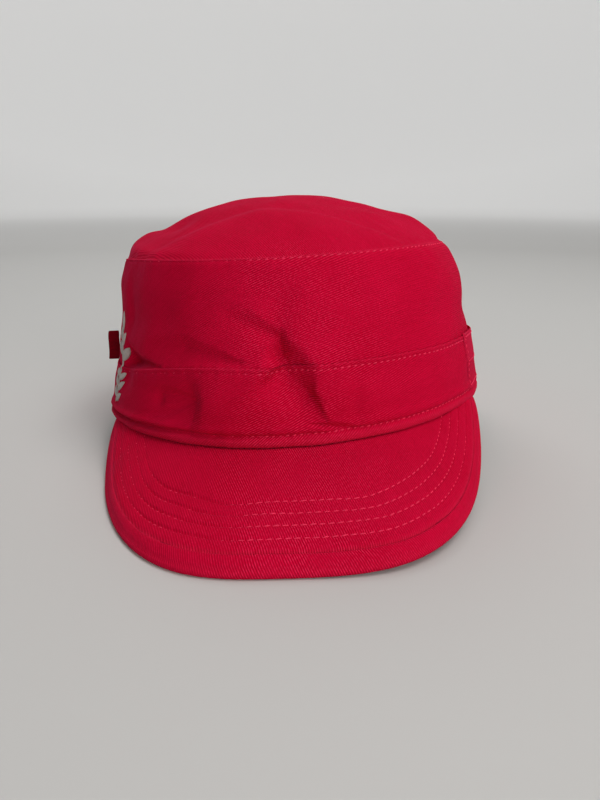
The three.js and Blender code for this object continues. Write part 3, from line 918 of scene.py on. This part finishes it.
def makeSideTab(look):
    # a folded ribbon: a squared oval section in plan, carried up the wall, its ends drawn in
    turn = np.linspace(0, 2 * np.pi, look["steps"])[None, :]
    squared = lambda wave: np.sign(wave) * np.abs(wave) ** (2 / look["square"])
    share = np.linspace(-1, 1, look["rows"])[:, None]
    draw = 1 - np.abs(share) ** look["endPower"] * look["endDraw"]
    outward = look["reach"] / 2 * (1 + squared(np.cos(turn)) * (1 - look["endShort"] * (1 - draw)))
    twist = look["twist"] * np.sin(share * look["twistTurn"]) * outward / look["reach"]
    forward = look["thick"] / 2 * squared(np.sin(turn)) * draw + twist
    rise = look["fromRise"] + (look["toRise"] - look["fromRise"]) * (share + 1) / 2
    angle = np.radians(look["angle"])
    base = wallAt(angle + 0 * share, levelAt(rise), look["inner"] + 0 * share)
    ways = np.array([[np.sin(angle), -np.cos(angle), 0], [np.cos(angle), np.sin(angle), 0]])
    points = base + outward[..., None] * ways[0] + forward[..., None] * ways[1]
    around = turn / (2 * np.pi) * 2 * look["reach"] + 0 * share
    uv = np.stack([around, rise + 0 * turn], -1)
    rub = 0 * around
    gridPiece("sideTab", points, uv, rub, darkRibbon, "side_tab", roundV=True, caps=True)


# One stitch: a short plump bead of thread that dips into the cloth at both ends.
# A row: mm from stitch to stitch, a stitch's share of it, its lean in degrees, mm sunk at left and right.
stitchLook = {
    "width": 0.6, "height": 0.6, "sides": 6, "rings": 4, "ringsTo": 0.86,
    "arch": 0.55, "low": 0.35, "sink": 0.03, "tip": 0.13,  # shares of the height, mm sunk, mm of tilt
    "seed": 11, "uneven": 0.13, "unevenLean": 4.0, "wayStep": 0.4, "samples": 2400,
    "bandTop": (2.9, 0.66, 16, 0.3, 0),
    "bandHem": (2.8, 0.66, 16, 0.3, 0),
    "topSeam": (3.3, 0.68, 12, 0.3, 0),
    "visor": (3.2, 0.92, 7, 0.26, 0.30),
    "strap": (2.8, 0.65, 10, 0, 0),
}


def alongPath(values, length, at):  # values of a path at some lengths along it
    return np.stack([np.interp(at, length, values[:, axis]) for axis in range(3)], -1)


def beadShape(look):
    # rings of points along a straight axis, plump in the middle, closed by a tip at both ends
    t = np.concatenate([[-1], np.linspace(-look["ringsTo"], look["ringsTo"], look["rings"]), [1]])
    turn = np.arange(look["sides"]) * 2 * np.pi / look["sides"]
    fat = np.sqrt(1 - t[1:-1, None] ** 4)
    beadX = np.concatenate([[-1], np.repeat(t[1:-1], look["sides"]), [1]])
    beadY = np.concatenate([[0], (fat * np.cos(turn)).ravel(), [0]])
    beadZ = np.concatenate([[0], (fat * np.sin(turn)).ravel(), [0]])
    ring, k = np.meshgrid(np.arange(look["rings"] - 1), np.arange(look["sides"]), indexing="ij")
    nextK = (k + 1) % look["sides"]
    first, last = 1 + ring * look["sides"], 1 + (ring + 1) * look["sides"]
    body = np.stack([first + k, last + k, last + nextK, first + nextK], -1).reshape(-1, 4)
    k, nextK, tail = k[0], nextK[0], len(beadX) - 1
    lastRing = tail - look["sides"]
    firstTip = np.stack([0 * k, 1 + k, 1 + nextK, 0 * k], -1)
    lastTip = np.stack([lastRing + k, 0 * k + tail, 0 * k + tail, lastRing + nextK], -1)
    return beadX, beadY, beadZ, np.concatenate([body, firstTip, lastTip])


def stitchRows(name, rows):
    # rows: points, normals, then one row's settings; beads evenly spaced along each row, turned by its lean
    # and set into the cloth, all in one mesh
    look = stitchLook
    draw = np.random.default_rng(look["seed"])
    beadX, beadY, beadZ, faces = beadShape(look)
    beadArch = 1 - beadX ** 2
    around = np.arctan2(beadZ, beadY) / (2 * np.pi)
    allPoints, allUv = [], []
    for path, up, pitch, part, lean, leftSink, rightSink in rows:
        length = pathLength(path)
        count = max(int(length[-1] / pitch), 1)
        at = (np.arange(count) + 0.5) * length[-1] / count
        centre = alongPath(path, length, at)
        normal = unit(alongPath(up, length, at))
        ahead, behind = (alongPath(path, length, at + step) for step in (look["wayStep"], -look["wayStep"]))
        way = unit(ahead - behind)
        straight = np.cross(normal, way)
        turned = np.radians(lean + draw.uniform(-look["unevenLean"], look["unevenLean"], (count, 1)))
        across = straight * np.cos(turned) - way * np.sin(turned)
        way = way * np.cos(turned) + straight * np.sin(turned)
        half = pitch * part / 2
        sunk = leftSink * leftShare(centre[:, :1]) + draw.uniform(0, look["uneven"], (count, 1))
        sunk = sunk + rightSink * rightSunk(centre[:, :1]) + look["sink"]
        plump = look["height"] * (look["arch"] * beadArch - look["low"] + beadZ / 2)
        lift = plump + look["tip"] * beadX - sunk
        bead = (centre[:, None] + way[:, None] * (half * beadX)[None, :, None]
                + across[:, None] * (look["width"] / 2 * beadY)[None, :, None]
                + normal[:, None] * lift[..., None])
        allPoints.append(bead)
        allUv.append(np.stack([beadX * half + 0 * at[:, None], around + 0 * at[:, None]], -1))
    points, uv = np.concatenate(allPoints), np.concatenate(allUv)
    start = np.arange(len(points))[:, None, None] * points.shape[1]
    quads = (start + faces[None]).reshape(-1, 4)
    flatUv = uv.reshape(-1, 2)
    flat = points.reshape(-1, 3)
    finishPiece(name, flat, quads, flatUv[quads], np.zeros(len(flat)), redThread, None)


def rowOn(surface, first, second):  # points and normals along a line of a surface of two parameters
    step = 1e-3
    point = surface(first, second)
    normal = np.cross(surface(first + step, second) - point, surface(first, second + step) - point)
    return point, unit(normal)


def makeStitches(visorTop, visorAway, visorRows):
    # rows at set heights round the band, the seam and the strap; rows at set distances from the visor's edge
    sewn = stitchLook
    angle = np.linspace(-np.pi, np.pi, sewn["samples"])
    bandWall = lambda a, r: wallAt(a, levelAt(r), bandFace(a, r))
    topRow = rowOn(bandWall, angle, 0 * angle + bandLook["topRow"])
    hemRow = rowOn(bandWall, angle, 0 * angle + bandLook["hemRow"])
    stitchRows("bandStitches", [topRow + sewn["bandTop"], hemRow + sewn["bandHem"]])
    crownWall = lambda a, r: wallAt(a, levelAt(r), crownFace(r))
    seamRow = rowOn(crownWall, angle, 0 * angle + crownSideLook["seamRow"])
    stitchRows("seamStitches", [seamRow + sewn["topSeam"]])
    slopeU, slopeV = np.gradient(visorTop, axis=0), np.gradient(visorTop, axis=1)
    normal = np.cross(slopeU, slopeV)
    normal /= np.linalg.norm(normal, axis=-1, keepdims=True) + 1e-9
    normal *= np.sign(normal[..., 2:])
    peak = []
    for row in visorRows:
        crossing = (visorAway[:, :-1] >= row) & (visorAway[:, 1:] < row)
        column = np.nonzero(crossing.any(1))[0]
        k = crossing.argmax(1)[column]
        near, far = visorAway[column, k], visorAway[column, k + 1]
        share = ((near - row) / (near - far))[:, None]
        path = visorTop[column, k] * (1 - share) + visorTop[column, k + 1] * share
        peak.append((path, normal[column, k]) + sewn["visor"])
    stitchRows("visorStitches", peak)
    look = strapLook
    strapTop = lambda a, r: wallAt(a, levelAt(r), strapFace(a, r, look["sewnAt"]))
    inTurn = look["row"] / hatForm["meanRadius"]
    angleA, angleB = np.radians(look["fromAngle"]) + inTurn, np.radians(look["toAngle"]) - inTurn
    riseA, riseB = look["fromRise"] + look["row"], look["toRise"] - look["row"]
    across = np.linspace(angleA, angleB, look["lengthSamples"])
    upright = np.linspace(riseA, riseB, look["heightSamples"])
    lines = [(across, rise + 0 * across) for rise in (riseA, riseB, (riseA + riseB) / 2)]
    lines += [(end + 0 * upright, upright) for end in (angleA, angleB)]
    stitchRows("strapStitches", [rowOn(strapTop, a, r) + sewn["strap"] for a, r in lines])


# A small embroidered sprig on the left of the hat: a stem and paired leaves.
sprigLook = {
    "angle": -66, "fromRise": 10.0, "toRise": 45.0, "sway": 2.0, "stemWidth": 1.3, "stemHeight": 0.45,
    "stemRows": 60, "stemSides": 9, "stemEnd": 8, "stemLeast": 0.05, "stemAbove": 0.1,
    "leafHeight": 0.75, "leafRows": 11, "leafSides": 10, "leafAbove": 0.15,
    "leafVein": 0.3, "veinReach": 0.4, "leafBack": 0.3, "widestAt": 0.85, "leafFull": 0.8, "leafDome": 0.5,
    "edgeRise": 30.0, "edgeOver": 2.4,
    "leaves": [  # share of the stem, turn from upright, length, width
        (0.04, 60, 9.5, 4.4), (0.10, -60, 9.5, 4.4), (0.22, 56, 9.5, 4.4), (0.28, -56, 9.5, 4.2),
        (0.40, 62, 8.0, 3.9), (0.45, -64, 7.5, 3.7), (0.67, 50, 8.5, 4.0), (0.74, -50, 8.0, 3.8),
        (0.84, 42, 7.5, 3.5), (0.90, -40, 7.0, 3.3), (1.0, 2, 8.5, 3.8),
    ],
}


def sprigBase(angle, rise):  # the cloth under the sprig: the band's face, then the crown's, eased between
    edge = sprigLook["edgeRise"]
    share = smoothStep((rise - edge) / sprigLook["edgeOver"])
    return bandFace(angle, np.minimum(rise, edge)) * (1 - share) - hatForm["seamGap"] * share


def stemLine(share):  # mm round and mm up, upright with a sine's sway
    look = sprigLook
    side = np.radians(look["angle"]) * hatForm["meanRadius"] + look["sway"] * np.sin(np.pi * share)
    return side, look["fromRise"] + (look["toRise"] - look["fromRise"]) * share


def satinPoint(side, rise, height):  # a place at a height above the cloth
    angle = side / hatForm["meanRadius"]
    return wallAt(angle, levelAt(rise), sprigBase(angle, rise) + height)


def makeSprig(look):
    # stem: a low oval cord; leaf: a lens in plan with a domed, grooved section; one grid for all the leaves
    share = np.linspace(0, 1, look["stemRows"])[:, None]
    turn = np.linspace(0, 2 * np.pi, look["stemSides"])[None, :]
    side, rise = stemLine(share)
    taper = np.sqrt(np.clip(1 - (2 * share - 1) ** look["stemEnd"], look["stemLeast"], 1))
    across = look["stemWidth"] / 2 * taper * np.cos(turn)
    height = look["stemHeight"] * np.sin(turn) + look["stemAbove"]
    points = satinPoint(side + across, rise + 0 * turn, height)
    uv = np.stack(np.broadcast_arrays(rise, across), -1)
    rub = 0 * across
    gridPiece("sprigStem", points, uv, rub, paleSatin, None, roundV=True, caps=True)
    table = np.array(look["leaves"])[:, :, None, None]
    place, lean, length, wide = table[:, 0], np.radians(table[:, 1]), table[:, 2], table[:, 3]
    u = np.linspace(0, 1, look["leafRows"])[None, :, None]
    turn = np.linspace(0, 2 * np.pi, look["leafSides"] + 1)[None, None, :-1]
    across = wide / 2 * np.sin(np.pi * u ** look["widestAt"]) ** look["leafFull"] * np.cos(turn)
    along = length * u + 0 * turn
    tall = look["leafHeight"] * np.sin(np.pi * u) ** look["leafDome"]
    height = tall * np.where(np.sin(turn) > 0, np.sin(turn), look["leafBack"] * np.sin(turn))
    height = height - look["leafVein"] * tall * bell(across, look["veinReach"]) * (np.sin(turn) > 0)
    startS, startR = stemLine(place)
    side = startS + along * np.sin(lean) + across * np.cos(lean)
    rise = startR + along * np.cos(lean) - across * np.sin(lean)
    points = satinPoint(side, rise, height + look["leafAbove"])
    count, rows, sides = points.shape[:3]
    i, j, k = (a.ravel() for a in np.mgrid[0:count, 0:rows - 1, 0:sides])
    corner = lambda row, spoke: (i * rows + row) * sides + spoke % sides
    quads = np.stack([corner(j, k), corner(j + 1, k), corner(j + 1, k + 1), corner(j, k + 1)], -1)
    flatUv = np.stack([along, across], -1).reshape(-1, 2)
    flat = points.reshape(-1, 3)
    rub = np.zeros(len(flat))
    finishPiece("sprigLeaves", flat, quads, flatUv[quads], rub, paleSatin, None)


makeCrownSide(crownSideLook)
makeBand(bandLook)
makeCrownTop(domeLook)
visorTop, visorAway, visorRows = makeVisor(visorLook)
makeSideStrap(strapLook)
makeSideTab(tabLook)
makeSprig(sprigLook)
makeStitches(visorTop, visorAway, visorRows)
print("hat made")

stageLook = {
    "floor": (0.57, 0.565, 0.55, 1), "flat": 2.0, "bend": 1.0, "wall": 2.2, "spokes": 96,
    "world": (0.80, 0.82, 0.85, 1), "worldStrength": 0.01,
    "glow": (0.42, 0.42, 0.42, 1), "glowFrom": 1.0, "glowTo": 2.2, "glowFront": -2.0, "glowBack": 2.4,
    "glowPower": 1.5, "glowLeast": 0.08, "bendRows": 24, "hole": 0.001, "darker": 0.97, "cells": 3.0,
    "roughness": 0.7,
}


def makeStage(look):
    # a pale round floor that sweeps up on every side: a straight, a quarter circle, a straight, spun round
    bend = np.linspace(0, np.pi / 2, look["bendRows"])
    outer = look["flat"] + look["bend"]
    reach = np.concatenate([[look["hole"]], look["flat"] + look["bend"] * np.sin(bend), [outer]])
    height = np.concatenate([[0], look["bend"] * (1 - np.cos(bend)), [look["wall"]]])
    turn = np.arange(look["spokes"])[:, None] * 2 * np.pi / look["spokes"]
    points = np.stack(np.broadcast_arrays(reach * np.cos(turn), reach * np.sin(turn), height + 0 * turn), -1)
    rows = len(reach)
    i, j = (a.ravel() for a in np.mgrid[0:look["spokes"], 0:rows - 1])
    after = (i + 1) % look["spokes"]
    faces = np.stack([i * rows + j, i * rows + j + 1, after * rows + j + 1, after * rows + j], -1)
    mesh = bpy.data.meshes.new("floor")
    mesh.from_pydata(points.reshape(-1, 3).tolist(), [], faces.tolist())
    mesh.polygons.foreach_set("use_smooth", np.ones(len(faces), bool))
    f = Finish("paleFloor")
    place = f.place()
    split = f.node("ShaderNodeSeparateXYZ", {}, {0: place})
    behind = ((split.pick(1) - look["glowFront"]) / (look["glowBack"] - look["glowFront"])).clamped()
    behind = behind ** look["glowPower"] * (1 - look["glowLeast"]) + look["glowLeast"]
    distance = f.node("ShaderNodeVectorMath", {"operation": "LENGTH"}, {0: place}, "Value")
    share = ((distance - look["glowFrom"]) / (look["glowTo"] - look["glowFrom"])).clamped() * behind
    dark = tuple(look["darker"] * c for c in look["floor"][:3]) + (1,)
    colour = f.mixed(f.noise(place, look["cells"]), dark, look["floor"])
    mesh.materials.append(f.close({
        "Base Color": colour, "Roughness": look["roughness"],
        "Emission Color": f.mixed(share, (0, 0, 0, 1), look["glow"]), "Emission Strength": 1.0,
    }))
    floor = addObject("floor", mesh)
    world = bpy.data.worlds.new("studio")
    world.use_nodes = True
    background = world.node_tree.nodes["Background"]
    background.inputs["Color"].default_value = look["world"]
    background.inputs["Strength"].default_value = look["worldStrength"]
    bpy.context.scene.world = world


lampLook = [  # name, place, watts, size, colour
    ("key", (0.7, -0.5, 1.4), 6.8, 0.7, (1.0, 0.98, 0.96)),
    ("right", (0.72, -1.33, 0.7), 5.0, 0.8, (1.0, 0.99, 0.98)),
    ("front", (0.48, -1.5, 0.75), 6.6, 0.8, (1.0, 0.99, 0.98)),
    ("top", (0.4, -0.05, 1.55), 6.0, 0.8, (1.0, 1.0, 1.0)),
    ("backTop", (-0.25, 0.9, 1.2), 6.6, 1.0, (1.0, 1.0, 1.0)),
]
lampAim = Vector((0, 0, 0.05))


def makeLamps(rows):  # soft square lamps, all aimed at the middle of the hat
    for name, place, watts, size, colour in rows:
        lamp = bpy.data.lights.new(name, "AREA")
        lamp.energy, lamp.size, lamp.color = watts, size, colour
        holder = addObject(name, lamp)
        holder.location = place
        holder.rotation_euler = (lampAim - Vector(place)).to_track_quat("-Z", "Y").to_euler()


cameraLook = {  # mm and degrees, the focal length and the picture's height in pixels
    "place": (1.25, -369.1, 127.3), "pitch": 17.53, "focalPixels": 720, "frameHeight": 800, "sensor": 36.0,
    "nearest": 0.01,
}


def makeCamera(look):  # level from side to side and pitched down
    camera = bpy.data.cameras.new("camera")
    camera.sensor_width = look["sensor"]
    camera.lens = look["focalPixels"] / look["frameHeight"] * look["sensor"]
    camera.clip_start = look["nearest"]
    holder = addObject("camera", camera)
    holder.location = (np.array(look["place"]) + hatShift) * 0.001
    holder.rotation_euler = (np.radians(90 - look["pitch"]), 0, 0)
    bpy.context.scene.camera = holder


makeStage(stageLook)
makeLamps(lampLook)
makeCamera(cameraLook)
bpy.context.scene.view_settings.view_transform = "Standard"
print("stage, lamps and camera made")
